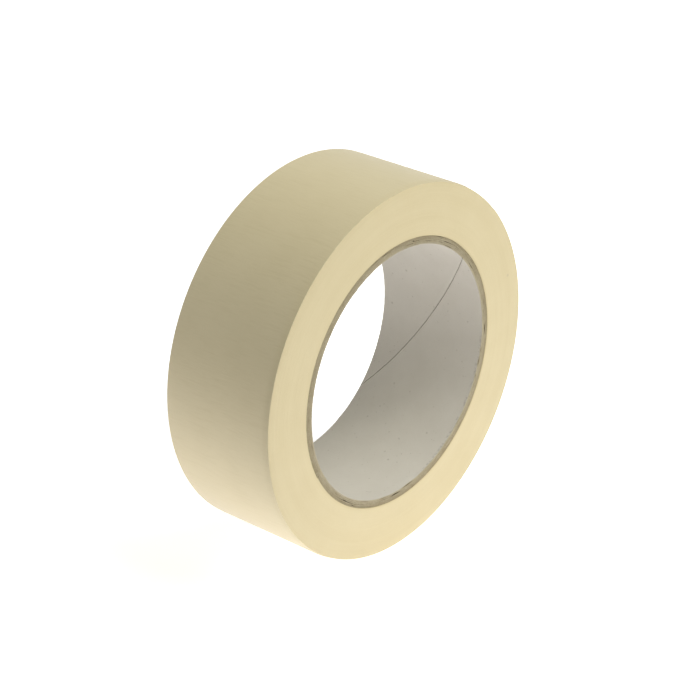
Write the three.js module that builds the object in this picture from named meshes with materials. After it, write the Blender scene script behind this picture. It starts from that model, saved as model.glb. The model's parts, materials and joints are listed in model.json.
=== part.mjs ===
// A roll of masking tape, standing on its rim: a spirally wound paperboard core, the tape wound on it,
// and the tape's free end, which peels off the roll. Millimetres, +Z up. The roll's axis is along Y,
// its front side faces -Y, and the origin is the middle of the bore.
import * as THREE from "three";
import { mergeVertices } from "three/addons/utils/BufferGeometryUtils.js";

// The tape
const tapeWidth = 37.5;
const tapeThickness = 0.13;
const woundDepth = 15.8; // from the core out to the outermost turn's outer face
const footDepth = 0.5; // how far the roll's own weight flattens it where it stands

// The core: one thin liner ply inside, then plies of grey board
const boreRadius = 38.1;
const linerThickness = 0.3;
const boardThickness = 0.45;
const boardPlies = 4;
const coreRecess = 0.1; // the core's ends sit this far inside the tape's sides
const seamLead = 151; // the length of core along which a ply's seam goes once round
const seamWidth = 0.3; // the slit where a ply's two edges meet

// Clearances
const glueLine = 0.05; // between two plies
const layerGap = 0.05; // between the core, the inner turns and the outer layer
const foldGap = 0.3; // between two lengths of tape that follow each other

// Angles round the axis, in degrees from +X towards +Z
const turn = 360;
const footAngle = -90;
const peelAngle = 7.5; // the line where the free end leaves the roll
const foldArc = 11.25; // each fold of the free end goes this far round the roll
const foldNames = ["free_end_root", "free_end_middle", "free_end_tip"];
const seamAngles = [-1, 131, 263, 38, 176]; // each ply's seam at mid-width, from the liner outwards
const sides = 96; // every layer has the same flats, so that neighbours lie flat on flat

// Worked out from them
const sideArc = turn / sides;
const endAngle = peelAngle + foldArc * foldNames.length;
const coreRadius = boreRadius + linerThickness + boardPlies * (boardThickness + glueLine);
const rollRadius = coreRadius + woundDepth;
const coreLength = tapeWidth - 2 * coreRecess;

const crepe = new THREE.MeshStandardMaterial({ color: 0xe3d6b0, roughness: 0.75, metalness: 0 });
const crepeOuter = new THREE.MeshStandardMaterial({ color: 0xded0a8, roughness: 0.7, metalness: 0 });
const liner = new THREE.MeshStandardMaterial({ color: 0xb9b2a4, roughness: 0.85, metalness: 0 });
const board = new THREE.MeshStandardMaterial({ color: 0xa2977f, roughness: 0.9, metalness: 0 });

const { degToRad, radToDeg } = THREE.MathUtils;

function polar(angle, radius) {
  return new THREE.Vector2(Math.cos(degToRad(angle)), Math.sin(degToRad(angle))).multiplyScalar(radius);
}

// The arc, in degrees, that a length covers at a radius
function arcOf(length, radius) {
  return radToDeg(length / radius);
}

// The distance from the axis to a layer's flat at any angle, where its corners have this radius
function radiusOnFlat(angle, radius) {
  const middle = (Math.floor(angle / sideArc) + 0.5) * sideArc;
  return (radius * Math.cos(degToRad(sideArc / 2))) / Math.cos(degToRad(angle - middle));
}

// The corners of the flats strictly between two angles, with the two angles themselves
function cornersFrom(start, end) {
  const inside = [];
  for (let i = Math.floor(start / sideArc) + 1; i * sideArc < end; i++) inside.push(i * sideArc);
  return [start, ...inside, end];
}

// The outer face of the wound tape, `layers` thicknesses and `gap` further in, flattened at the foot.
// It spirals out by one thickness in a turn and ends at the free end's cut edge.
function woundRadius(angle, layers, gap = 0) {
  const round = (a) => rollRadius - tapeThickness * (layers + (endAngle - a) / turn) - gap;
  const down = Math.cos(degToRad(angle - footAngle));
  const foot = round(footAngle) - footDepth;
  return down > 0 ? Math.min(round(angle), foot / down) : round(angle);
}

function extrude(shape) {
  const depth = tapeWidth;
  return new THREE.ExtrudeGeometry(shape, { depth, bevelEnabled: false }).translate(0, 0, -depth / 2);
}

// A length of the outer layer between two angles, drawn from `centre`
function outerLayer(start, end, centre = new THREE.Vector2()) {
  const angles = cornersFrom(start, end);
  const outside = angles.map((a) => polar(a, woundRadius(a, 0)).sub(centre));
  const inside = angles.map((a) => polar(a, woundRadius(a, 1)).sub(centre));
  return extrude(new THREE.Shape([...outside, ...inside.reverse()]));
}

// All the turns under the outer layer, with the step where the outer layer comes up from them
function innerTurns() {
  const angles = cornersFrom(endAngle - turn, endAngle);
  const shape = new THREE.Shape(angles.map((a) => polar(a, woundRadius(a, 1, layerGap))));
  const start = cornersFrom(0, turn).slice(0, sides);
  shape.holes.push(new THREE.Path(start.map((a) => polar(a, coreRadius + layerGap)).reverse()));
  return extrude(shape);
}

// One ply of the core: a strip wound on a helix, whose two edges meet at a slit that runs round the tube
function ply(inner, thickness, seamAngle) {
  const outer = inner + thickness;
  const half = coreLength / 2;
  const slope = turn / seamLead;
  const steepness = Math.atan(seamLead / (2 * Math.PI * inner));
  const slit = arcOf(seamWidth / Math.sin(steepness), inner) / 2;
  const leading = seamAngle + slit; // the strip's first edge at mid-length, then its second
  const trailing = seamAngle + turn - slit;
  const bends = [leading + half * slope, trailing - half * slope].sort((a, b) => a - b);
  const ends = [leading - half * slope, ...bends, trailing + half * slope];
  const angles = [...new Set(ends.slice(1).flatMap((end, i) => cornersFrom(ends[i], end)))];
  const stations = angles.map((a) => {
    const low = Math.max(-half, (a - trailing) / slope);
    const high = Math.min(half, (a - leading) / slope);
    const near = polar(a, radiusOnFlat(a, inner));
    const far = polar(a, radiusOnFlat(a, outer));
    return [[near, low], [far, low], [far, high], [near, high]].map(([p, z]) => [p.x, p.y, z]);
  });
  return closedBand(stations);
}

// A closed solid through sections of four corners each, with its first and last sections as end faces
function closedBand(sections) {
  const corners = [];
  const quad = (a, b, c, d) => corners.push(a, b, c, a, c, d);
  for (let i = 1; i < sections.length; i++) {
    const [before, after] = [sections[i - 1], sections[i]];
    before.forEach((p, k) => {
      const next = (k + 1) % before.length;
      quad(p, after[k], after[next], before[next]);
    });
  }
  quad(...sections[0]);
  quad(...[...sections.at(-1)].reverse());
  const positions = new THREE.Float32BufferAttribute(corners.flat(), 3);
  const merged = mergeVertices(new THREE.BufferGeometry().setAttribute("position", positions));
  const kept = [];
  const { array } = merged.index;
  for (let i = 0; i < array.length; i += 3) {
    const [a, b, c] = array.subarray(i, i + 3);
    if (a !== b && b !== c && c !== a) kept.push(a, b, c); // a pointed end has no end face
  }
  merged.setIndex(kept);
  merged.computeVertexNormals();
  return merged;
}

function add(parent, name, geometry, material) {
  const mesh = new THREE.Mesh(geometry, material);
  mesh.name = name;
  parent.add(mesh);
}

// Everything is drawn round Z and turned so that the roll's axis lies along Y
const roll = new THREE.Group();
roll.rotation.x = Math.PI / 2;

const core = new THREE.Group();
roll.add(core);
add(core, "core_liner_ply", ply(boreRadius, linerThickness, seamAngles[0]), liner);
for (let i = 0; i < boardPlies; i++) {
  const inner = boreRadius + linerThickness + glueLine + i * (boardThickness + glueLine);
  const seam = seamAngles[(i + 1) % seamAngles.length];
  add(core, `core_board_ply_${i + 1}`, ply(inner, boardThickness, seam), board);
}

const tape = new THREE.Group();
roll.add(tape);
const outerStart = endAngle - turn + arcOf(foldGap, rollRadius);
const outerEnd = peelAngle - arcOf(foldGap, rollRadius) / 2;
add(tape, "tape_inner_turns", innerTurns(), crepe);
add(tape, "tape_outer_turn", outerLayer(outerStart, outerEnd), crepeOuter);

// The free end: each fold hangs on the one before at a line across the tape, in the middle of its thickness
let carrier = tape;
let carrierCentre = new THREE.Vector2();
foldNames.forEach((name, i) => {
  const from = peelAngle + i * foldArc;
  const last = i === foldNames.length - 1;
  const to = last ? endAngle : from + foldArc - arcOf(foldGap, rollRadius) / 2;
  const centre = polar(from, woundRadius(from, 0.5));
  const fold = new THREE.Group();
  fold.position.set(...centre.clone().sub(carrierCentre), 0);
  carrier.add(fold);
  add(fold, name, outerLayer(from + arcOf(foldGap, rollRadius) / 2, to, centre), crepeOuter);
  [carrier, carrierCentre] = [fold, centre];
});

// The outermost turn's least gap to itself, between points of its middle line over a quarter turn apart
const apart = sides / 4;
const middleLine = cornersFrom(outerStart, outerEnd).map((a) => polar(a, woundRadius(a, 0.5)));
const gaps = middleLine.flatMap((p, i) => middleLine.slice(i + apart).map((q) => p.distanceTo(q)));
console.log("tape_outer_turn: least gap to itself", (Math.min(...gaps) - tapeThickness).toFixed(2));

const part = new THREE.Group();
part.add(roll);
export default part;
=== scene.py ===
"""A roll of masking tape standing on its rim, laid out as an add-on and run as a script.

The core is five spirally wound plies, the tape is one strip wound round it, and the last stretch of
the strip is a free end that lies on the roll. Everything is in metres, with the roll's axis along Y.
"""

import json
import math

import bpy
import numpy as np
from bpy.props import FloatProperty, FloatVectorProperty, IntProperty, PointerProperty
from mathutils import Matrix, Vector


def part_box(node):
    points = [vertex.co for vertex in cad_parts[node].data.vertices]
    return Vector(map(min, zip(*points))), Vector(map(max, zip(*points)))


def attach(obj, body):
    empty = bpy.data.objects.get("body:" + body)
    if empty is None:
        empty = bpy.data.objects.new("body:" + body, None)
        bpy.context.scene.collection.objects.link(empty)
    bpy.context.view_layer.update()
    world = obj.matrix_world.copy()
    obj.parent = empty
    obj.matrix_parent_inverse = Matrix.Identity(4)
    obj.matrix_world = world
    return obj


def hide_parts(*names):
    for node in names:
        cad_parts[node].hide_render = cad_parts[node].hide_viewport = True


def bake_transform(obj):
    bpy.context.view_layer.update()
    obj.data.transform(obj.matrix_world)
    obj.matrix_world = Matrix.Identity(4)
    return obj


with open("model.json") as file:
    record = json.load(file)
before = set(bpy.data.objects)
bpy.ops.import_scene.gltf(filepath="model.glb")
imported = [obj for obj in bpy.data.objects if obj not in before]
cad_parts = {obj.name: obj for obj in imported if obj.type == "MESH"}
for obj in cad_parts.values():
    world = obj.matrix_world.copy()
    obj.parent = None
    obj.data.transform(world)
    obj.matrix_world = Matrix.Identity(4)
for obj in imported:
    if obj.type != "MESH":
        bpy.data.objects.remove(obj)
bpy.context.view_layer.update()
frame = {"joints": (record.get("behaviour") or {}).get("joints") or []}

bl_info = {
    "name": "Masking tape roll",
    "version": (1, 0, 0),
    "blender": (4, 5, 0),
    "location": "3D View > Sidebar > Tape Roll",
    "description": "Builds a roll of masking tape: its wound core, its turns of tape and its free end",
    "category": "Add Mesh",
}

MM = 0.001
TURN = 2 * math.pi
PIVOTS = {joint["name"]: Vector(joint["pos_m"]) for joint in frame["joints"]}


def srgb(red, green, blue):
    """A colour given in the 0 to 255 of a picture, as the linear one that Blender keeps."""
    shares = [value / 255 for value in (red, green, blue)]
    return [c / 12.92 if c <= 0.04045 else ((c + 0.055) / 1.055) ** 2.4 for c in shares]


def angle_of(point):
    """The angle round the roll's axis, from +X towards +Z."""
    return math.atan2(point.z, point.x)


def polar(angle, radius, along=0.0):
    return Vector((radius * math.cos(angle), along, radius * math.sin(angle)))


def outer_radius(node):
    """Half a round CAD node's width across."""
    low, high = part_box(node)
    return (high.x - low.x) / 2


def depth_of(node):
    low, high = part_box(node)
    return high.y - low.y


# Where each fold of the free end hangs, and its cut edge, as far past the last fold as the folds lie apart
PEEL_ANGLE, BEND_ANGLE, CURL_ANGLE = [angle_of(pivot) for pivot in PIVOTS.values()]
CUT_ANGLE = CURL_ANGLE + (CURL_ANGLE - BEND_ANGLE)
CORE_RADIUS = outer_radius("core_board_ply_4")
BOARD_DEPTH = CORE_RADIUS - outer_radius("core_liner_ply")
PLIES = ["core_liner_ply", "core_board_ply_1", "core_board_ply_2", "core_board_ply_3", "core_board_ply_4"]


def length(name, description, default):
    """A size that a user can set, in metres."""
    return FloatProperty(name=name, description=description, default=default, unit="LENGTH", precision=5)


def amount(name, description, default):
    """A plain number that isn't less than 0."""
    return FloatProperty(name=name, description=description, default=default, min=0)


def direction(name, description, degrees):
    return FloatProperty(name=name, description=description, default=math.radians(degrees), subtype="ANGLE")


def colour(name, description, default):
    return FloatVectorProperty(
        name=name, description=description, default=default, size=3, subtype="COLOR", min=0, max=1
    )


class TapeSizes(bpy.types.PropertyGroup):
    """The strip of tape and how it lies on the roll."""

    width: length("Width", "Width of the tape", depth_of("tape_outer_turn"))
    thickness: length("Thickness", "Thickness of the tape with its adhesive", 0.13 * MM)
    wander: length("Wander", "How far each turn's edges stray to either side", 0.035 * MM)
    wander_reach: length("Wander reach", "Length of tape over which an edge strays", 45 * MM)
    rim_drop: length("Rim drop", "How far the rims of the outer turns are pressed in", 0.28 * MM)
    rear_rim: amount("Rear rim", "Share of the front rim's pressing that the rear rim has", 0.1)
    rim_reach: length("Rim reach", "Width of the pressed band along each rim", 0.9 * MM)
    rim_inset: length("Rim inset", "How far the outermost edge lies inside the side face", 0.12 * MM)
    pressed_depth: length("Pressed depth", "Depth of turns over which the pressing dies out", 3 * MM)
    crepe_height: length("Crepe height", "Height of the wrinkles across the tape", 0.022 * MM)
    crepe_pitch: length("Crepe pitch", "Distance from one wrinkle to the next", 1.1 * MM)
    crepe_reach: length("Crepe reach", "Length of one wrinkle across the tape", 9 * MM)
    fine_step: length("Fine step", "Distance between sections where the wrinkles are modelled", 0.25 * MM)
    rows: IntProperty(name="Rows", description="Rows of faces across the tape", default=30, min=2)
    sides: IntProperty(name="Sides", description="Sections in one buried turn", default=160, min=24)


class CoreSizes(bpy.types.PropertyGroup):
    """The spirally wound paperboard core."""

    bore_radius: length("Bore radius", "Inner radius of the liner", 38.1 * MM)
    glue_line: length("Glue line", "Clearance between two plies", 0.05 * MM)
    length: length("Length", "Length of the core", depth_of("core_board_ply_1"))
    seam_lead: length("Seam lead", "Length of core in which a seam goes once round", 151 * MM)
    seam_width: length("Seam width", "Gap between the two edges of a ply", 0.12 * MM)
    fray: length("Fray", "Roughness of the cut ends", 0.09 * MM)
    fray_pitch: length("Fray pitch", "Scale of the roughness of the cut ends", 0.7 * MM)
    unevenness: length("Unevenness", "How far the paper lies off a true cylinder", 0.05 * MM)
    unevenness_pitch: length("Unevenness pitch", "Scale of the paper's unevenness", 14 * MM)
    seam_lift: length("Seam lift", "How far the liner's edge stands up at its seam", 0.05 * MM)
    looseness: length("Looseness", "Widest chance gap behind a ply at its cut ends", 0.12 * MM)
    loose_pitch: length("Loose pitch", "Length of one chance gap", 4.5 * MM)
    split_depth: length("Split depth", "How deep the gaps between plies reach", 2.2 * MM)
    crushed: length("Crushed", "Width of the dented band along the liner's front end", 0.9 * MM)
    sides: IntProperty(name="Sides", description="Sections round a ply", default=480, min=48)
    fibres: IntProperty(name="Fibres", description="Loose paper fibres on the cut ends", default=260, min=0)
    flecks: IntProperty(name="Flecks", description="Flecks in the liner's paper", default=36, min=0)


class FreeEndSizes(bpy.types.PropertyGroup):
    """How the free end bends when it is peeled."""

    peel_bend: length("Peel bend", "Length of tape that bends where it leaves the roll", 2.2 * MM)
    fold_bend: length("Fold bend", "Length of tape that bends at each later fold", 4.5 * MM)


class Finishes(bpy.types.PropertyGroup):
    """The colours of the roll."""

    edge: colour("Tape edge", "The side of the wound tape", srgb(222, 209, 170))
    # Partly painted shade: the darker colour stands for turns that lie a little deeper, and also gives the
    # edge its own uneven tone
    edge_shade: colour("Tape edge, darker", "Turns that lie a little deeper", srgb(213, 198, 155))
    backing: colour("Backing", "The outer face of the creped paper", srgb(226, 213, 174))
    # Painted shade: the hollows between the wrinkles are coloured darker than the ridges
    backing_painted_shade: colour("Backing, darker", "The hollows between wrinkles", srgb(216, 202, 160))
    adhesive: colour("Adhesive", "The sticky side of the tape", srgb(216, 200, 154))
    liner: colour("Liner", "The grey paper that lines the bore", srgb(205, 201, 190))
    liner_shade: colour("Liner, darker", "The cloudy parts of the liner's paper", srgb(195, 190, 178))
    board: colour("Board", "The cut ends of the grey board", srgb(180, 170, 144))
    # Partly painted shade: the darker colour stands for the gaps between the board's fibres, and is also its
    # own cloudy tone
    board_shade: colour("Board, darker", "The gaps between the board's fibres", srgb(145, 133, 103))
    # Painted shade: the board's faces inside a gap between two plies are coloured dark
    painted_gap_shade: colour("Board gap", "The board inside a gap between two plies", srgb(98, 87, 63))
    fibre: colour("Fibre", "Loose paper fibres", srgb(188, 180, 158))
    # Also the painted shade in the dents along the liner's front end
    fleck: colour("Fleck", "Specks in the liner's paper", srgb(140, 132, 116))


class StageSettings(bpy.types.PropertyGroup):
    """The camera, the lamps and the floor."""

    azimuth: direction("Azimuth", "Camera's angle round the roll", -49.674)
    elevation: direction("Elevation", "Camera's angle above the floor", 26.752)
    distance: length("Distance", "Camera's distance from the middle of the bore", 669.98 * MM)
    aim_right: length("Aim right", "How far right of the bore's middle the camera looks", -0.065 * MM)
    aim_up: length("Aim up", "How far above the bore's middle the camera looks", 1.182 * MM)
    lens: amount("Lens", "Focal length in millimetres", 119.7)
    world: amount("World", "Strength of the light from all round", 0.02)
    lamp_distance: length("Lamp distance", "From each lamp to the bore's middle", 900 * MM)
    high: amount("High", "Watts of the lamp high on the right", 2.64)
    front: amount("Front", "Watts of the lamp in front", 4.49)
    rear: amount("Rear", "Watts of the low lamp behind", 3.2)
    rear_left: amount("Rear left", "Watts of the lamp behind on the left", 1.38)
    front_pool: amount("Front pool", "Glow of the floor before the roll", 1.2)
    right_pool: amount("Right pool", "Glow behind it on the right", 0.8)
    left_pool: amount("Left pool", "Glow behind it on the left", 1.45)
    backdrop: amount("Backdrop", "Glow of the floor to the camera, near the roll", 0.7)
    floor: colour("Floor", "The floor's colour", (0.85, 0.85, 0.85))
    warm: colour("Warm", "Colour of the lamps in front and behind on the left", (1.0, 1.0, 0.94))
    cool: colour("Cool", "Colour of the floor's glow on the roll", (0.965, 0.935, 1.0))


class Wire:
    """A node's output that takes part in sums: wire + 1 adds the node that works it out."""

    def __init__(self, bench, socket):
        self.bench = bench
        self.socket = socket

    def other(self, name):
        """Another output of the same node."""
        return Wire(self.bench, self.socket.node.outputs[name])

    def maths(self, operation, *values, **settings):
        """A Math node on this value, such as its sine."""
        return self.bench.node("ShaderNodeMath", {"operation": operation, **settings}, [self, *values])

    def clamped(self):
        return self.maths("ADD", 0.0, use_clamp=True)

    def eased(self):
        """The value held between 0 and 1, leaving each end gently."""
        share = self.clamped()
        return share * share * (3 - share * 2)

    def parts(self):
        """The three numbers of a vector."""
        first = self.bench.node("ShaderNodeSeparateXYZ", {}, [self])
        return first, first.other("Y"), first.other("Z")

    def sum(self, operation, first, second):
        """A Math node where both values are numbers, or else a Vector Math node."""
        wires = [value for value in (first, second) if isinstance(value, Wire)]
        if all(wire.socket.type == "VALUE" for wire in wires):
            return self.bench.node("ShaderNodeMath", {"operation": operation}, [first, second])
        values = [(value,) * 3 if isinstance(value, (int, float)) else value for value in (first, second)]
        return self.bench.node("ShaderNodeVectorMath", {"operation": operation}, values)

    def __add__(self, value):
        return self.sum("ADD", self, value)

    def __radd__(self, value):
        return self.sum("ADD", value, self)

    def __sub__(self, value):
        return self.sum("SUBTRACT", self, value)

    def __rsub__(self, value):
        return self.sum("SUBTRACT", value, self)

    def __mul__(self, value):
        return self.sum("MULTIPLY", self, value)

    def __rmul__(self, value):
        return self.sum("MULTIPLY", value, self)

    def __truediv__(self, value):
        return self.sum("DIVIDE", self, value)

    def __rtruediv__(self, value):
        return self.sum("DIVIDE", value, self)

    def __gt__(self, value):
        return self.sum("GREATER_THAN", self, value)

    def __lt__(self, value):
        return self.sum("LESS_THAN", self, value)


# The places of a Mix node's sockets for colours, and of a Random Value node's for plain numbers, which
# share their names with those for other kinds of value
MIX_FIRST = 6
MIX_SECOND = 7
MIX_RESULT = 2
CHANCE_LOW = 2
CHANCE_HIGH = 3
CHANCE_RESULT = 1


class Bench:
    """Adds the nodes of one tree."""

    def __init__(self, tree):
        self.tree = tree

    def node(self, kind, settings=None, sockets=None, out=0):
        """A new node's output, once its settings are set and then its sockets filled or linked."""
        made = self.tree.nodes.new(kind)
        for name, value in (settings or {}).items():
            setattr(made, name, value)
        filled = enumerate(sockets or []) if not isinstance(sockets, dict) else sockets.items()
        for key, value in filled:
            if isinstance(value, Wire):
                self.tree.links.new(value.socket, made.inputs[key])
            elif value is not None:
                made.inputs[key].default_value = value
        return Wire(self, made.outputs[out]) if made.outputs else made

    def vector(self, x, y, z):
        return self.node("ShaderNodeCombineXYZ", {}, [x, y, z])

    def noise(self, place, detail=2.0, roughness=0.5):
        """Soft noise from 0 to 1, with one lump to a unit of `place`."""
        sockets = {"Vector": place, "Scale": 1.0, "Detail": detail, "Roughness": roughness}
        return self.node("ShaderNodeTexNoise", {}, sockets)

    def distance(self, place, middle):
        return self.node("ShaderNodeVectorMath", {"operation": "DISTANCE"}, [place, middle], out="Value")

    def mix(self, share, first, second):
        """A colour that goes from the first to the second as the share goes from 0 to 1."""
        sockets = {"Factor": share, MIX_FIRST: opaque(first), MIX_SECOND: opaque(second)}
        return self.node("ShaderNodeMix", {"data_type": "RGBA"}, sockets, out=MIX_RESULT)


def opaque(value):
    return value if isinstance(value, Wire) else (*value, 1.0)


# Materials

# Small spots, in degrees and millimetres: on the liner each one's angle, place along the axis and radius,
# and on the side its angle, distance from the axis and radius
LINER_SPOTS = [(-3.5, 15.6, 0.3), (16.7, 9.0, 0.32), (-74.9, -6.3, 0.3)]
SIDE_SPOTS = [(14.7, 51.4, 0.42)]
SPOT_BLUR = 0.5  # share of its radius over which a spot fades, to either side of its rim
# The stretch of the liner's front end that is dented: the angle of its middle, and its arc, in degrees
CRUSHED_SECTOR = (-38, 76)
# Each noise on the strip is cut through at a place of its own, so that no two are alike
CREPE_SLICE = 3.7
FINE_CREPE_SLICE = 9.1
FIBRE_SLICE = 1.3
CLOUD_SLICE = 5.2


def new_material(name):
    """A material with a bench for its nodes, and its Principled shader."""
    material = bpy.data.materials.new(name)
    material.use_nodes = True
    shader = material.node_tree.nodes["Principled BSDF"]
    return material, Bench(material.node_tree), shader


def finish_shader(bench, shader, base, roughness, height, depth, **constants):
    """Links what varies over the surface, and sets what doesn't on the shader's own sockets."""
    bump = bench.node("ShaderNodeBump", {}, {"Height": height, "Distance": depth, "Strength": 1.0})
    for name, wire in {"Base Color": base, "Roughness": roughness, "Normal": bump}.items():
        bench.tree.links.new(wire.socket, shader.inputs[name])
    for name, value in constants.items():
        shader.inputs[name.replace("_", " ")].default_value = value


def object_place(bench):
    return bench.node("ShaderNodeTexCoord", out="Object")


def round_axis(place):
    """The distance from the roll's axis."""
    x, _, z = place.parts()
    return (x * x + z * z).maths("SQRT")


def spotted(bench, place, spots):
    """1 in each small round spot, given by its middle and radius, and 0 away from them."""
    total = 0.0
    for middle, radius in spots:
        total = total + (1 + SPOT_BLUR - bench.distance(place, middle) / radius).clamped()
    return total


def ringed(bench, place, fine, slow):
    """Noise in rings round the roll's axis, which changes slowly along each ring."""
    x, _, z = place.parts()
    return bench.noise(bench.vector(round_axis(place) / fine, x / slow, z / slow))


def varied(middle, *noises):
    """A value that strays to either side of its middle, by each noise times its weight."""
    for noise, weight in noises:
        middle = middle + (noise - 0.5) * weight
    return middle


def contrasted(noise, level, contrast):
    """0 where a noise is under this level, rising to 1 above it."""
    return ((noise - level) * contrast).clamped()


def wound_edge_material(finishes, tape):
    """The side of the wound tape: thousands of paper edges in very fine rings, where turns that lie a little
    deeper are painted in shade.
    """
    turn_scale = (0.45 * MM, 40 * MM)  # across the rings, and along them
    band_scale = (2.6 * MM, 55 * MM)
    relief_scale = (0.2 * MM, 20 * MM)
    cloud_size = 9 * MM
    grain_size = 0.5 * MM
    darker_reach = 0.9 * MM  # of the first turns on the core, which are darker
    spot_strength = 0.35
    relief_depth = 0.03 * MM

    material, bench, shader = new_material("wound_tape_side")
    place = object_place(bench)
    turns = ringed(bench, place, *turn_scale)
    bands = ringed(bench, place, *band_scale)
    cloud = bench.noise(place / cloud_size)
    grain = bench.noise(place / grain_size)
    # The turns nearest the core are darker, by this share
    darker_near_core = (1 - (round_axis(place) - CORE_RADIUS) / darker_reach).clamped()
    # The rings and bands are painted shade for turns that lie a little deeper, mixed with the edge's own
    # cloudy tone and grain
    light = varied(0.62, (turns, 0.55), (bands, 0.5), (cloud, 0.55), (grain, 0.3)) - darker_near_core * 0.6
    clean = bench.mix(light.clamped(), finishes.edge_shade, finishes.edge)
    front = -tape.width / 2
    spots = [
        (polar(math.radians(angle), reach * MM, front), radius * MM) for angle, reach, radius in SIDE_SPOTS
    ]
    base = bench.mix(spotted(bench, place, spots) * spot_strength, clean, finishes.board)
    roughness = varied(0.62, (turns, 0.16))
    height = ringed(bench, place, *relief_scale) + grain * 0.5
    finish_shader(bench, shader, base, roughness, height, relief_depth, Specular_IOR_Level=0.35)
    return material


def unrolled_place(bench):
    """Where a point lies on the strip: along it, across it, and 1 on its backing or 0 on its adhesive."""
    return bench.node("ShaderNodeAttribute", {"attribute_name": "unrolled"}, out="Vector").parts()


def crepe(bench, along, across, pitch, reach):
    """Wrinkles across the tape, from 0 in the hollows to 1 on the ridges."""
    sharpness = 3.2
    closer = 2.3  # how much closer together the fine wrinkles lie, and how much shorter they are
    shorter = 2.1
    coarse = bench.noise(bench.vector(along / pitch, across / reach, CREPE_SLICE), 2.5, 0.55)
    fine = bench.noise(bench.vector(along / pitch * closer, across / reach * shorter, FINE_CREPE_SLICE), 1.0)
    ridge = 1 - ((coarse - 0.5).maths("ABSOLUTE") * sharpness)
    return (ridge * 0.75 + fine * 0.35).clamped()


def backing_material(finishes, tape):
    """The strip's creped paper, with painted shade in the hollows of its wrinkles, and its adhesive on the
    other side.
    """
    fibre_width = 0.35 * MM
    fibre_length = 1.1 * MM
    cloud_along = 16 * MM
    cloud_across = 12 * MM
    relief_depth = 0.03 * MM

    material, bench, shader = new_material("creped_backing")
    along, across, side = unrolled_place(bench)
    wrinkles = crepe(bench, along, across, tape.crepe_pitch, tape.crepe_reach)
    fibres = bench.noise(bench.vector(along / fibre_width, across / fibre_length, FIBRE_SLICE), 4.0, 0.6)
    cloud = bench.noise(bench.vector(along / cloud_along, across / cloud_across, CLOUD_SLICE))
    # The hollows between the wrinkles are painted in shade, darker than the ridges; the fibres and cloud are
    # the paper's own tone
    light = varied(0.25 + wrinkles * 0.5, (fibres, 0.35), (cloud, 0.5))
    paper = bench.mix(light.clamped(), finishes.backing_painted_shade, finishes.backing)
    sticky = 1 - (side > 0.5)
    base = bench.mix(sticky, paper, finishes.adhesive)
    roughness = varied(0.56 + sticky * 0.16, (fibres, 0.14))
    height = (wrinkles + fibres * 0.35) * (1 - sticky * 0.6)
    gloss = {"Specular_IOR_Level": 0.5, "Sheen_Weight": 0.3, "Sheen_Roughness": 0.4}
    finish_shader(bench, shader, base, roughness, height, relief_depth, **gloss)
    return material


def in_sector(x, z, middle, arc):
    """1 within this arc round the axis, fading out over a tenth of it at each end."""
    over = x * math.cos(middle) + z * math.sin(middle)
    off = (over / (x * x + z * z).maths("SQRT")).maths("ARCCOSINE")
    return ((arc / 2 - off) / (arc / 10)).eased()


def liner_material(finishes, core):
    """Grey recycled paper, slightly cloudy, with specks.

    Its front end is dented, with painted shade in the dents, and its cut ends show the board under it.
    """
    cloud_size = 7 * MM
    fibre_size = 0.6 * MM
    speck_size = 0.9 * MM
    dent_size = 0.8 * MM
    dent_offset = 4.0  # in the noise, so that the dents lie elsewhere than the specks
    cut_reach = 0.1 * MM  # how far in from its ends the liner counts as cut
    relief_depth = 0.025 * MM

    material, bench, shader = new_material("grey_liner")
    place = object_place(bench)
    cloud = bench.noise(place / cloud_size, 3.0, 0.6)
    fibres = bench.noise(place / fibre_size, 4.0, 0.65)
    specks = contrasted(bench.noise(place / speck_size, 0.0), 0.78, 14)
    light = varied(0.55, (cloud, 0.9), (fibres, 0.45))
    paper = bench.mix(light.clamped(), finishes.liner_shade, finishes.liner)
    spots = [
        (polar(math.radians(angle), core.bore_radius, along * MM), radius * MM)
        for angle, along, radius in LINER_SPOTS
    ]
    x, y, z = place.parts()
    from_front = y + core.length / 2
    from_end = core.length / 2 - y.maths("ABSOLUTE")
    in_band = (1 - (from_front / core.crushed - 0.5).maths("ABSOLUTE") * 2).clamped()
    dents = contrasted(bench.noise(place / dent_size + dent_offset, 1.0), 0.5, 9) * in_band
    dents = dents * in_sector(x, z, *[math.radians(angle) for angle in CRUSHED_SECTOR])
    # The dents are bumped and also painted in shade, darkened towards the fleck colour; the specks and spots
    # are the paper's own marks
    marks_and_dent_shade = specks * 0.3 + spotted(bench, place, spots) * 0.45 + dents * 0.42
    marked = bench.mix(marks_and_dent_shade.clamped(), paper, finishes.fleck)
    base = bench.mix((1.5 - from_end / cut_reach).clamped(), marked, finishes.board)
    roughness = varied(0.8, (fibres, 0.2))
    height = fibres + cloud * 0.6 - dents * 4
    finish_shader(bench, shader, base, roughness, height, relief_depth, Specular_IOR_Level=0.3)
    return material


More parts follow.
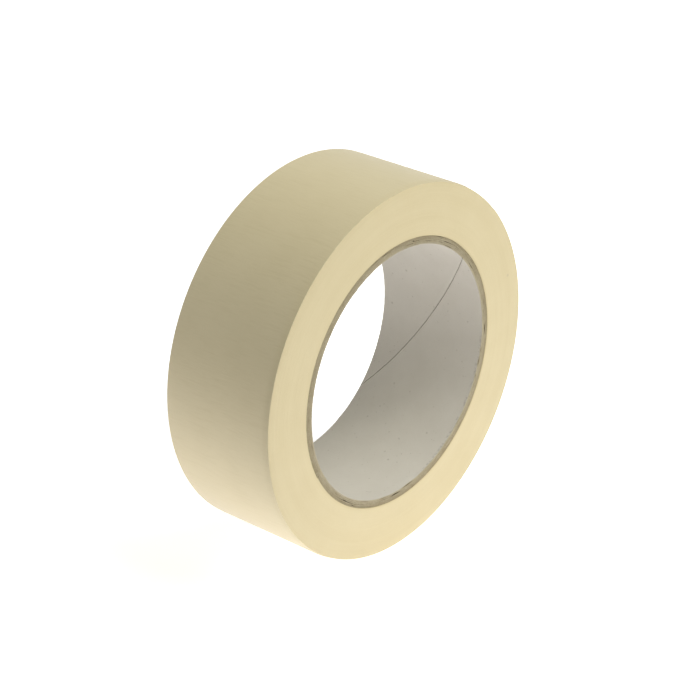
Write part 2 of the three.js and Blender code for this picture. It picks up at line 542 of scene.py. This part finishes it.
def board_material(finishes, core):
    """Grey board, cut across: matted fibres in thin layers, with painted shade between the fibres and inside
    the gaps between plies.
    """
    layer_scale = (0.16 * MM, 2.2 * MM)  # across the layers, and along them
    fibre_size = 0.45 * MM
    cloud_size = 4 * MM
    cut_reach = 0.14 * MM  # how far in from its ends the board counts as cut
    relief_depth = 0.06 * MM

    material, bench, shader = new_material("grey_board")
    place = object_place(bench)
    layers = ringed(bench, place, *layer_scale)
    fibres = bench.noise(place / fibre_size, 4.0, 0.65)
    cloud = bench.noise(place / cloud_size)
    inward = (CORE_RADIUS - round_axis(place)) / BOARD_DEPTH
    # The gaps between fibres and layers are painted in shade, darker where the relief is low; the cloud is
    # the board's own tone, and the board is lighter towards the bore
    light = varied(0.3 + inward * 0.4, (layers, 1.1), (fibres, 0.9), (cloud, 0.6))
    cut = bench.mix(light.clamped(), finishes.board_shade, finishes.board)
    from_end = core.length / 2 - place.parts()[1].maths("ABSOLUTE")
    # Past the cut ends, the board's faces show only inside the gaps between plies, and are painted dark there
    # as their shade
    base = bench.mix((from_end / cut_reach - 0.5).clamped(), cut, finishes.painted_gap_shade)
    roughness = varied(0.9, (fibres, 0.15))
    finish_shader(bench, shader, base, roughness, layers + fibres, relief_depth, Specular_IOR_Level=0.2)
    return material


def paper_bit_material(name, tint, shade):
    """Loose fibres or flecks, each a little different."""
    cloud_size = 1.5 * MM
    grain_size = 0.15 * MM
    relief_depth = 0.01 * MM

    material, bench, shader = new_material(name)
    place = object_place(bench)
    cloud = bench.noise(place / cloud_size)
    grain = bench.noise(place / grain_size)
    base = bench.mix(cloud, shade, tint)
    roughness = varied(0.8, (grain, 0.2))
    finish_shader(bench, shader, base, roughness, grain, relief_depth, Specular_IOR_Level=0.2)
    return material


# Geometry Nodes trees

def new_tree(name, sizes, counts):
    """A Geometry Nodes tree with these inputs and a material, a bench for it, and its inputs by name."""
    tree = bpy.data.node_groups.new(name, "GeometryNodeTree")
    tree.is_modifier = True
    kinds = {**dict.fromkeys(sizes, "Float"), **dict.fromkeys(counts, "Int"), "Material": "Material"}
    for label, kind in kinds.items():
        tree.interface.new_socket(name=label, in_out="INPUT", socket_type="NodeSocket" + kind)
    tree.interface.new_socket(name="Mesh", in_out="OUTPUT", socket_type="NodeSocketGeometry")
    bench = Bench(tree)
    inputs = bench.node("NodeGroupInput")
    return tree, bench, {label: inputs.other(label) for label in kinds}


def sizes_of(group, labels):
    """The sizes of a property group by the names of a tree's inputs: Seam Lead is its seam_lead."""
    return {label: getattr(group, label.lower().replace(" ", "_")) for label in labels}


def close_tree(bench, mesh, material):
    """Ends a tree as the export needs it: nothing instanced, and a material on every face."""
    real = bench.node("GeometryNodeRealizeInstances", {}, [mesh])
    painted = bench.node("GeometryNodeSetMaterial", {}, {"Geometry": real, "Material": material})
    bench.node("NodeGroupOutput", {}, [painted])


def block(bench, x_steps, y_steps, z_steps):
    """A closed block one unit across, its place and the way its faces look before it is bent."""
    counts = {"Vertices X": x_steps + 1, "Vertices Y": y_steps + 1, "Vertices Z": z_steps + 1}
    mesh = bench.node("GeometryNodeMeshCube", {}, counts)
    place = bench.node("GeometryNodeInputPosition")
    facing = bench.node("GeometryNodeInputNormal")
    return mesh, place, facing


def shaded(bench, mesh, domain, smooth, selection=None):
    """The mesh with these faces or edges smooth or sharp, or all of them where no selection is given."""
    sockets = {0: mesh, "Selection": selection, "Shade Smooth": smooth}
    return bench.node("GeometryNodeSetShadeSmooth", {"domain": domain}, sockets)


def smooth_where(bench, mesh, selection):
    return shaded(bench, shaded(bench, mesh, "FACE", False), "FACE", True, selection)


SHARP_CORNER = 0.7  # radians between two faces, past which the edge between them is a corner
FRONT_SIDE = -0.499  # just inside the front of a block one unit across
ADHESIVE_RELIEF = 0.25  # share of the wrinkles' height that the adhesive side has
STRIP_SIZES = [
    "Width", "Thickness", "Wander", "Wander Reach", "Rim Drop", "Rear Rim", "Rim Reach", "Rim Inset",
    "Pressed Depth", "Crepe Height", "Crepe Pitch", "Crepe Reach",
]


def strip_tree():
    """A stretch of the tape between two angles of its spiral, with its edges, rims and wrinkles."""
    sizes = [*STRIP_SIZES, "Cut Radius", "Cut Angle", "From", "To"]
    tree, bench, size = new_tree("Wound strip", sizes, ["Steps Along", "Steps Across"])
    mesh, place, facing = block(bench, size["Steps Along"], 1, size["Steps Across"])
    through = facing.parts()[1]
    share, depth, across = (place + 0.5).parts()
    across = (across - 0.5) * size["Width"]
    angle = size["From"] + (size["To"] - size["From"]) * share
    along = angle * size["Cut Radius"]
    buried = size["Thickness"] * (size["Cut Angle"] - angle) / TURN
    unrolled = bench.vector(along, across, depth)
    marked = bench.node(
        "GeometryNodeStoreNamedAttribute",
        {"data_type": "FLOAT_VECTOR", "domain": "POINT"},
        {"Geometry": mesh, "Name": "unrolled", "Value": unrolled},
    )
    smooth = smooth_where(bench, marked, through.maths("ABSOLUTE") > 0.5)
    # The shown tape is crisp at its ends, where the next stretch goes on, and along its rear edge
    corner = bench.node("GeometryNodeInputMeshEdgeAngle", out="Unsigned Angle") > SHARP_CORNER
    crisp = corner * (place.parts()[2] > FRONT_SIDE) * (size["Crepe Height"] > 0.0)
    edged = shaded(bench, smooth, "EDGE", False, crisp)

    pressed = (1 - buried / size["Pressed Depth"]).clamped()
    to_rim = size["Width"] * 0.5 - across.maths("ABSOLUTE")
    shoulder = (1 - to_rim / size["Rim Reach"]).clamped()
    at_rear = across > 0.0
    drop = size["Rim Drop"] * (1 - at_rear * (1 - size["Rear Rim"])) * pressed * shoulder * shoulder
    wrinkles = crepe(bench, along, across, size["Crepe Pitch"], size["Crepe Reach"])
    ridge = size["Crepe Height"] * wrinkles * (ADHESIVE_RELIEF + depth * (1 - ADHESIVE_RELIEF))
    radius = size["Cut Radius"] - buried - size["Thickness"] * (1 - depth) - drop + ridge
    stray = bench.noise(bench.vector(along / size["Wander Reach"], 0.0, 0.0), 3.0, 0.6) - 0.5
    inset = size["Rim Inset"] * pressed * pressed * 2 / size["Width"]
    aside = across * (1 - inset) + size["Wander"] * stray * 2
    bent = bench.vector(radius * angle.maths("COSINE"), aside, radius * angle.maths("SINE"))
    wound = bench.node("GeometryNodeSetPosition", {}, {"Geometry": edged, "Position": bent})
    close_tree(bench, wound, size["Material"])
    return tree


SEAM_CURL = 1.2 * MM  # width of the liner's edge that stands up at its seam
PLY_SIZES = [
    "Length", "Seam Lead", "Seam Lift", "Fray", "Fray Pitch", "Unevenness", "Unevenness Pitch",
    "Looseness", "Loose Pitch", "Split Depth",
]
SPLITS_PER_PLY = 5
SPLIT_LABELS = ["Angle", "Arc", "Width"]
END_ROW = 0.001  # as a share of half the length, closer to the end than any row of points but the last
LOOSE_LEVEL = 0.56  # the noise above which a ply is loose at its ends
LOOSE_CONTRAST = 7
LOOSE_SEEDS = 1.7  # from one ply's noise for its chance gaps to the next one's


def ply_tree():
    """One ply of the core: a strip wound on a helix, whose edges meet at a seam that runs round the tube."""
    splits = [f"Split {n} {label}" for n in range(SPLITS_PER_PLY) for label in SPLIT_LABELS]
    sizes = [*PLY_SIZES, *splits, "Inner Radius", "Thickness", "Seam Angle", "Seam Gap", "Lean", "Seed"]
    tree, bench, size = new_tree("Spiral ply", sizes, ["Steps Round", "Steps Through", "Steps Along"])
    mesh, place, facing = block(bench, size["Steps Round"], size["Steps Through"], size["Steps Along"])
    through = facing.parts()[1]
    smooth = smooth_where(bench, mesh, through.maths("ABSOLUTE") > 0.5)
    share, depth, lengthwise = (place * 2).parts()
    share = share * 0.5 + 0.5
    depth = depth * 0.5 + 0.5
    from_end = 1 - lengthwise.maths("ABSOLUTE")
    side = lengthwise.maths("SIGN")
    crowded = side * (1 - from_end * from_end)
    along = crowded * size["Length"] * 0.5
    slope = TURN / size["Seam Lead"]
    angle = size["Seam Angle"] - along * slope + size["Seam Gap"] + share * (TURN - size["Seam Gap"] * 2)
    radius = size["Inner Radius"] + depth * size["Thickness"]
    true_place = bench.vector(radius * angle.maths("COSINE"), along, radius * angle.maths("SINE"))
    lumps = bench.noise(true_place / size["Unevenness Pitch"] + size["Seed"], 1.0) - 0.5
    ragged = bench.noise(true_place / size["Fray Pitch"] + size["Seed"], 3.0, 0.65) - 0.5
    at_end = from_end < END_ROW
    radius = radius + size["Unevenness"] * lumps

    near_end = (1 - from_end * from_end * size["Length"] * 0.5 / size["Split Depth"]).eased()
    chance = bench.noise(true_place / size["Loose Pitch"] + size["Seed"] * LOOSE_SEEDS, 1.0)
    loose = ((chance - LOOSE_LEVEL) * LOOSE_CONTRAST).eased() * size["Looseness"]
    split = 0.0
    for n in range(SPLITS_PER_PLY):
        middle, arc, width = [size[f"Split {n} {label}"] for label in SPLIT_LABELS]
        off = (angle - middle).maths("WRAP", math.pi, -math.pi).maths("ABSOLUTE")
        split = split + (1 - off / arc * 2).eased() * width
    gap = (loose + split * (side < 0)) * near_end
    radius = radius - gap * (size["Lean"] + depth * (1 - size["Lean"]))
    from_seam = (1 - share * TURN * radius / SEAM_CURL).clamped()
    radius = radius - size["Seam Lift"] * from_seam * from_seam
    along = along + side * at_end * size["Fray"] * ragged * 2
    bent = bench.vector(radius * angle.maths("COSINE"), along, radius * angle.maths("SINE"))
    wound = bench.node("GeometryNodeSetPosition", {}, {"Geometry": smooth, "Position": bent})
    close_tree(bench, wound, size["Material"])
    return tree


BIT_STEPS = 6
BIT_TAPER = 0.8  # share of its width that a sliver loses towards its ends
BIT_SCALES = (0.45, 1.2)  # the smallest and the largest, against their named size


def bits_tree():
    """Small bent slivers of paper scattered between two radii and two places along the axis."""
    sizes = [
        "Inner Radius", "Outer Radius", "From", "To", "Facing In", "Facing Along",
        "Bit Length", "Bit Width", "Bit Height", "Bow",
    ]
    tree, bench, size = new_tree("Paper bits", sizes, ["Count", "Seed"])

    def chance(low, high, salt):
        sockets = {CHANCE_LOW: low, CHANCE_HIGH: high, "Seed": size["Seed"] + salt}
        return bench.node("FunctionNodeRandomValue", {"data_type": "FLOAT"}, sockets, out=CHANCE_RESULT)

    sliver, place = block(bench, BIT_STEPS, 1, 1)[:2]
    x, y, z = (place * 2).parts()
    taper = 1 - x * x * BIT_TAPER
    body = bench.vector(
        x * size["Bit Length"] * 0.5,
        y * size["Bit Width"] * 0.5 * taper,
        z * size["Bit Height"] * 0.5 * taper + size["Bow"] * (1 - x * x),
    )
    sliver = bench.node("GeometryNodeSetPosition", {}, {"Geometry": sliver, "Position": body})

    line = bench.node("GeometryNodeMeshLine", {}, {"Count": size["Count"]})
    angle = chance(0.0, TURN, 1)
    radius = chance(size["Inner Radius"], size["Outer Radius"], 2)
    along = chance(size["From"], size["To"], 3)
    heading = chance(0.0, TURN, 4)
    growth = chance(*BIT_SCALES, 5)
    cosine = angle.maths("COSINE")
    sine = angle.maths("SINE")
    spot = bench.vector(radius * cosine, along, radius * sine)
    points = bench.node("GeometryNodeSetPosition", {}, {"Geometry": line, "Position": spot})
    inward = bench.vector(cosine * -1, 0.0, sine * -1)
    around = bench.vector(sine * -1, 0.0, cosine)
    axis = bench.vector(0.0, 1.0, 0.0)
    up = inward * size["Facing In"] + axis * size["Facing Along"]
    over = axis * size["Facing In"] + inward * size["Facing Along"]
    lie = around * heading.maths("COSINE") + over * heading.maths("SINE")
    turned = bench.node(
        "FunctionNodeAxesToRotation", {"primary_axis": "Z", "secondary_axis": "X"}, [up, lie]
    )
    sockets = {"Points": points, "Instance": sliver, "Rotation": turned, "Scale": growth}
    strewn = bench.node("GeometryNodeInstanceOnPoints", {}, sockets)
    close_tree(bench, strewn, size["Material"])
    return tree


def grown(name, tree, values):
    """The plain mesh that a tree makes with these values for its named inputs."""
    piece = bpy.data.objects.new(name, bpy.data.meshes.new(name))
    bpy.context.collection.objects.link(piece)
    modifier = piece.modifiers.new("Build", "NODES")
    modifier.node_group = tree
    inputs = {item.name: item.identifier for item in tree.interface.items_tree if item.in_out == "INPUT"}
    for label, value in values.items():
        modifier[inputs[label]] = value
    depsgraph = bpy.context.evaluated_depsgraph_get()
    mesh = bpy.data.meshes.new_from_object(
        piece.evaluated_get(depsgraph), preserve_all_data_layers=True, depsgraph=depsgraph
    )
    piece.modifiers.remove(modifier)
    mesh.materials.clear()
    mesh.materials.append(values["Material"])
    mesh.polygons.foreach_set("material_index", np.zeros(len(mesh.polygons), np.int32))
    mesh.name = name
    piece.data = mesh
    return piece


def settle(piece, body, slot_name, *nodes):
    """Hangs a finished piece on its body and hides the CAD nodes that it stands for. Its slot's name is not
    used.
    """
    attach(piece, body)
    if nodes:
        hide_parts(*nodes)


# The roll's spiral

def cut_radius(tape):
    """The outer face's radius at the cut edge, from the peel line's, which is in the middle of the tape."""
    pivot = PIVOTS["free_end_peel"]
    middle = math.hypot(pivot.x, pivot.z)
    return middle + tape.thickness * (0.5 + (CUT_ANGLE - PEEL_ANGLE) / TURN)


def strip_values(tape, start, end, steps, rows, material):
    """What the strip's tree takes. A strip with a single row of faces across it has no wrinkles."""
    values = sizes_of(tape, STRIP_SIZES)
    if rows == 1:
        values["Crepe Height"] = 0.0
    return {
        **values,
        "Cut Radius": cut_radius(tape),
        "Cut Angle": CUT_ANGLE,
        "From": start,
        "To": end,
        "Steps Along": steps,
        "Steps Across": rows,
        "Material": material,
    }


def fine_strip(name, tape, start, end):
    """A stretch of tape that shows, with its wrinkles modelled."""
    steps = round((end - start) * cut_radius(tape) / tape.fine_step)
    material = bpy.data.materials.get("creped_backing")
    tree = bpy.data.node_groups.get("Wound strip")
    return grown(name, tree, strip_values(tape, start, end, steps, tape.rows, material))


def peel_bend_angles(context):
    """Where the free end's first bend starts and ends, round the line where it leaves the roll."""
    share_before = 0.3  # of the bend, on the roll's side of the line
    arc = context.scene.tape_roll_free_end.peel_bend / cut_radius(context.scene.tape_roll_tape)
    start = PEEL_ANGLE - share_before * arc
    return start, start + arc


class TAPEROLL_OT_materials(bpy.types.Operator):
    """Makes the finishes of the paper, the board and the tape."""

    bl_idname = "tape_roll.materials"
    bl_label = "Finishes"

    def execute(self, context):
        finishes = context.scene.tape_roll_finishes
        tape = context.scene.tape_roll_tape
        wound_edge_material(finishes, tape)
        backing_material(finishes, tape)
        core = context.scene.tape_roll_core
        liner_material(finishes, core)
        board_material(finishes, core)
        paper_bit_material("paper_fibre", finishes.fibre, finishes.board)
        paper_bit_material("paper_fleck", finishes.fleck, finishes.liner_shade)
        return {"FINISHED"}


class TAPEROLL_OT_trees(bpy.types.Operator):
    """Makes the Geometry Nodes trees that wind the strips and scatter the fibres."""

    bl_idname = "tape_roll.trees"
    bl_label = "Winding trees"

    def execute(self, context):
        strip_tree()
        ply_tree()
        bits_tree()
        return {"FINISHED"}


# The plies from the liner outwards: the angle where a ply's seam crosses mid-length, and the gaps where it
# has come away from the next ply at the front. Each gap is the angle of its middle, its arc, both in degrees,
# and its width in millimetres.
PLY_MARKS = [
    (-1, [(-10.5, 5, 0.3), (-16.5, 7, 0.36), (-22.5, 5, 0.3), (-45, 12, 0.2), (-84, 13, 0.36)]),
    (131, [(-92.5, 10, 0.42), (-62, 14, 0.12), (35, 20, 0.1)]),
    (263, [(-0.7, 8, 0.42), (-128, 18, 0.12)]),
    (38, [(-46, 9, 0.2), (100, 26, 0.1)]),
    (176, [(-110, 34, 0.16), (-22, 16, 0.12)]),
]
NO_GAP = (0, 1, 0)
LINER_BUILD = {"Steps Through": 2, "Steps Along": 40, "Lean": 0.7}
BOARD_BUILD = {"Steps Through": 4, "Steps Along": 14, "Lean": 0.0, "Seam Lift": 0.0}
FIRST_SEED = 11.0


def split_values(gaps):
    """A ply's gaps by the names of its tree's inputs, with gaps of no width after the last."""
    values = {}
    for n, (middle, arc, width) in enumerate(gaps + [NO_GAP] * (SPLITS_PER_PLY - len(gaps))):
        gap = (math.radians(middle), math.radians(arc), width * MM)
        values.update({f"Split {n} {label}": value for label, value in zip(SPLIT_LABELS, gap)})
    return values


class TAPEROLL_OT_core(bpy.types.Operator):
    """Winds the liner and the four plies of board."""

    bl_idname = "tape_roll.core"
    bl_label = "Core"

    def execute(self, context):
        core = context.scene.tape_roll_core
        tree = bpy.data.node_groups["Spiral ply"]
        inner = core.bore_radius
        for index, node in enumerate(PLIES):
            is_liner = index == 0
            seam_angle, gaps = PLY_MARKS[index]
            outer = outer_radius(node)
            pitch = core.seam_lead / (TURN * inner)
            across = core.seam_width * math.hypot(1, pitch) / pitch
            ply = grown(node.replace("_ply", "_wrap"), tree, {
                **sizes_of(core, PLY_SIZES),
                **split_values(gaps),
                **(LINER_BUILD if is_liner else BOARD_BUILD),
                "Inner Radius": inner,
                "Thickness": outer - inner,
                "Seam Angle": math.radians(seam_angle),
                "Seam Gap": across / inner / 2,
                "Steps Round": core.sides,
                "Seed": FIRST_SEED + index,
                "Material": bpy.data.materials["grey_liner" if is_liner else "grey_board"],
            })
            settle(ply, "roll", "liner_paper" if is_liner else "core_board", node)
            inner = outer + core.glue_line
        return {"FINISHED"}


class TAPEROLL_OT_wound_tape(bpy.types.Operator):
    """Winds the tape on the core: the buried turns as one strip, and the outermost turn with its wrinkles."""

    bl_idname = "tape_roll.wound_tape"
    bl_label = "Wound tape"

    def execute(self, context):
        tape = context.scene.tape_roll_tape
        tree = bpy.data.node_groups["Wound strip"]
        hidden_lap = math.radians(3)
        surfacing = PEEL_ANGLE - hidden_lap - TURN
        turns = (cut_radius(tape) - tape.thickness - CORE_RADIUS) / tape.thickness
        start = CUT_ANGLE - turns * TURN
        steps = round((surfacing - start) / TURN * tape.sides)
        side = bpy.data.materials["wound_tape_side"]
        buried = grown("wound_turns", tree, strip_values(tape, start, surfacing, steps, 1, side))
        settle(buried, "roll", "wound_tape", "tape_inner_turns")
        outer = fine_strip("outermost_turn", tape, surfacing, peel_bend_angles(context)[0])
        settle(outer, "roll", "tape_backing", "tape_outer_turn")
        return {"FINISHED"}


class TAPEROLL_OT_free_end(bpy.types.Operator):
    """Lays the free end on the roll in three stretches, each round one of its folds."""

    bl_idname = "tape_roll.free_end"
    bl_label = "Free end"

    def execute(self, context):
        tape = context.scene.tape_roll_tape
        sizes = context.scene.tape_roll_free_end
        radius = cut_radius(tape)
        half = sizes.fold_bend / radius / 2
        lift = peel_bend_angles(context)
        first_border = (PEEL_ANGLE + BEND_ANGLE) / 2
        second_border = (BEND_ANGLE + CURL_ANGLE) / 2
        bend = (BEND_ANGLE - half, BEND_ANGLE + half)
        curl = (CURL_ANGLE - half, CURL_ANGLE + half)
        stretches = [
            ("free_end_lifting", lift[0], first_border, lift, "roll", "free_end_root"),
            ("free_end_bending", first_border, second_border, bend, "free_end_root", "free_end_middle"),
            ("free_end_curling", second_border, CUT_ANGLE, curl, "free_end_middle", "free_end_tip"),
        ]
        for name, start, end, bent, before, after in stretches:
            piece = fine_strip(name, tape, start, end)
            polar(bent[0], radius)
            polar(bent[1], radius)
            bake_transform(piece)
            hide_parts(after)
        return {"FINISHED"}


class TAPEROLL_OT_paper_bits(bpy.types.Operator):
    """Scatters loose fibres on the core's cut ends and flecks on the liner."""

    bl_idname = "tape_roll.paper_bits"
    bl_label = "Fibres and flecks"

    def execute(self, context):
        core = context.scene.tape_roll_core
        tree = bpy.data.node_groups["Paper bits"]
        half = core.length / 2
        proud = 0.05 * MM
        flecked = 0.97  # share of the liner's length that has flecks
        fibre = {
            "Count": core.fibres // 2,
            "Inner Radius": core.bore_radius,
            "Outer Radius": CORE_RADIUS,
            "Facing In": 0.0,
            "Bit Length": 0.5 * MM,
            "Bit Width": 0.07 * MM,
            "Bit Height": 0.04 * MM,
            "Bow": 0.06 * MM,
            "Material": bpy.data.materials["paper_fibre"],
        }
        fleck = {
            "Count": core.flecks,
            "Inner Radius": core.bore_radius,
            "Outer Radius": core.bore_radius,
            "From": -half * flecked,
            "To": half * flecked,
            "Facing In": 1.0,
            "Facing Along": 0.0,
            "Bit Length": 0.45 * MM,
            "Bit Width": 0.16 * MM,
            "Bit Height": 0.03 * MM,
            "Bow": 0.0,
            "Seed": 31,
            "Material": bpy.data.materials["paper_fleck"],
        }
        rear = {"From": half, "To": half + proud, "Facing Along": 1.0, "Seed": 12}
        front = {"From": -half - proud, "To": -half, "Facing Along": -1.0, "Seed": 21}
        settle(grown("front_fibres", tree, {**fibre, **front}), "roll", "core_board")
        settle(grown("rear_fibres", tree, {**fibre, **rear}), "roll", "core_board")
        settle(grown("liner_flecks", tree, fleck), "roll", "liner_paper")
        return {"FINISHED"}


# The stage

WHITE = (1, 1, 1)
LAMP_WIDTH = 500 * MM
# Each lamp by the name of its watts: its azimuth and elevation in degrees, and its height
LAMPS = {
    "high": (45, 65, 500 * MM),
    "front": (20, 50, 500 * MM),
    "rear": (180, 8, 200 * MM),
    "rear_left": (-150, 20, 500 * MM),
}
WARM_LAMPS = {"front", "rear_left"}
# Each glow of the floor by the name of its strength: its middle seen from above, and how far it reaches
POOLS = {
    "front_pool": ((20 * MM, -130 * MM), 300 * MM),
    "right_pool": ((150 * MM, 150 * MM), 250 * MM),
    "left_pool": ((-150 * MM, 150 * MM), 250 * MM),
}


def facing_camera(azimuth, elevation):
    """The camera's own axes: to the right, up, and back towards the viewer."""
    back = Vector((
        math.sin(azimuth) * math.cos(elevation),
        -math.cos(azimuth) * math.cos(elevation),
        math.sin(elevation),
    ))
    right = Vector((math.cos(azimuth), math.sin(azimuth), 0))
    return right, back.cross(right), back


def add_camera(context, stage):
    right, up, back = facing_camera(stage.azimuth, stage.elevation)
    camera = bpy.data.objects.new("camera", bpy.data.cameras.new("camera"))
    context.collection.objects.link(camera)
    camera.data.lens = stage.lens
    camera.data.sensor_width = 36
    camera.data.clip_start = 10 * MM
    camera.data.clip_end = 100
    place = back * stage.distance + right * stage.aim_right + up * stage.aim_up
    turn = Matrix((right, up, back)).transposed().to_4x4()
    camera.matrix_world = Matrix.Translation(place) @ turn
    context.scene.camera = camera


def add_lamp(context, stage, name, azimuth, elevation, height):
    """A large rectangular lamp that looks at the roll from these angles and isn't seen itself."""
    back = facing_camera(math.radians(azimuth), math.radians(elevation))[2]
    lamp = bpy.data.lights.new(name, "AREA")
    lamp.shape = "RECTANGLE"
    lamp.size = LAMP_WIDTH
    lamp.size_y = height
    lamp.energy = getattr(stage, name)
    lamp.color = stage.warm if name in WARM_LAMPS else WHITE
    holder = bpy.data.objects.new(name, lamp)
    context.collection.objects.link(holder)
    holder.location = back * stage.lamp_distance
    holder.rotation_euler = back.to_track_quat("Z", "Y").to_euler()
    holder.visible_camera = False


def seen_directly(bench):
    """1 where a surface is seen, also in a mirror or through glass, and 0 for the light that it spreads."""
    path = bench.node("ShaderNodeLightPath", out="Is Camera Ray")
    seen = path + path.other("Is Glossy Ray") + path.other("Is Transmission Ray")
    return seen.clamped()


def add_world(context, stage):
    world = bpy.data.worlds.new("studio")
    world.use_nodes = True
    context.scene.world = world
    bench = Bench(world.node_tree)
    seen = seen_directly(bench)
    strength = seen + (1 - seen) * stage.world
    background = world.node_tree.nodes["Background"]
    background.inputs["Color"].default_value = opaque(WHITE)
    world.node_tree.links.new(strength.socket, background.inputs["Strength"])


def glow(bench, place, middle, reach):
    """1 at a spot on the floor, fading out to 0 at this distance."""
    return (1 - bench.distance(place, middle) / reach).eased()


def floor_material(stage, height):
    """A white floor, lit from under like a light table.

    The camera sees an even glow, which still takes a shadow, and the roll is lit by three pools of light.
    """
    backdrop_reach = 1000 * MM
    material, bench, shader = new_material("studio_floor")
    seen = seen_directly(bench)
    place = object_place(bench)
    pools = 0.0
    for name, (middle, reach) in POOLS.items():
        pools = pools + glow(bench, place, (*middle, height), reach) * getattr(stage, name)
    to_camera = 1 - glow(bench, place, (0, 0, height), backdrop_reach) * (1 - stage.backdrop)
    strength = seen * to_camera + (1 - seen) * pools
    tint = bench.mix(seen, stage.cool, WHITE)
    shader.inputs["Base Color"].default_value = opaque(stage.floor)
    shader.inputs["Roughness"].default_value = 0.9
    material.node_tree.links.new(tint.socket, shader.inputs["Emission Color"])
    material.node_tree.links.new(strength.socket, shader.inputs["Emission Strength"])
    return material


def add_floor(context, stage, height):
    reach = 3.0  # metres from its middle to each side
    floor = bpy.data.objects.new("floor", bpy.data.meshes.new("floor"))
    corners = [(x * reach, y * reach, height) for x, y in [(-1, -1), (1, -1), (1, 1), (-1, 1)]]
    floor.data.from_pydata(corners, [], [(0, 1, 2, 3)])
    floor.data.materials.append(floor_material(stage, height))
    context.collection.objects.link(floor)


class TAPEROLL_OT_stage(bpy.types.Operator):
    """Sets up the camera, the floor and soft lamps."""

    bl_idname = "tape_roll.stage"
    bl_label = "Stage"

    def execute(self, context):
        stage = context.scene.tape_roll_stage
        tape = context.scene.tape_roll_tape
        context.scene.view_settings.view_transform = "Standard"
        add_camera(context, stage)
        add_world(context, stage)
        add_floor(context, stage, -cut_radius(tape))
        for name, place in LAMPS.items():
            add_lamp(context, stage, name, *place)
        return {"FINISHED"}


OPERATORS = [
    TAPEROLL_OT_stage,
    TAPEROLL_OT_materials,
    TAPEROLL_OT_trees,
    TAPEROLL_OT_core,
    TAPEROLL_OT_wound_tape,
    TAPEROLL_OT_free_end,
    TAPEROLL_OT_paper_bits,
]
SETTINGS = {
    "tape_roll_tape": TapeSizes,
    "tape_roll_core": CoreSizes,
    "tape_roll_free_end": FreeEndSizes,
    "tape_roll_finishes": Finishes,
    "tape_roll_stage": StageSettings,
}


class TAPEROLL_PT_panel(bpy.types.Panel):
    """Lists the roll's steps and sizes in the 3D view's sidebar."""

    bl_idname = "TAPEROLL_PT_panel"
    bl_label = "Masking tape roll"
    bl_space_type = "VIEW_3D"
    bl_region_type = "UI"
    bl_category = "Tape Roll"

    def draw(self, context):
        for operator in OPERATORS:
            self.layout.operator(operator.bl_idname)
        for attribute, group in SETTINGS.items():
            box = self.layout.box()
            box.label(text=group.__doc__)
            for name in group.__annotations__:
                box.prop(getattr(context.scene, attribute), name)


def register():
    for group in SETTINGS.values():
        bpy.utils.register_class(group)
    for attribute, group in SETTINGS.items():
        setattr(bpy.types.Scene, attribute, PointerProperty(type=group))
    for operator in OPERATORS:
        bpy.utils.register_class(operator)
    bpy.utils.register_class(TAPEROLL_PT_panel)


def unregister():
    bpy.utils.unregister_class(TAPEROLL_PT_panel)
    for operator in reversed(OPERATORS):
        bpy.utils.unregister_class(operator)
    for attribute in SETTINGS:
        delattr(bpy.types.Scene, attribute)
    for group in reversed(SETTINGS.values()):
        bpy.utils.unregister_class(group)


def main():
    register()
    for operator in OPERATORS:
        group, step = operator.bl_idname.split(".")
        getattr(getattr(bpy.ops, group), step)()


if __name__ == "__main__":
    main()
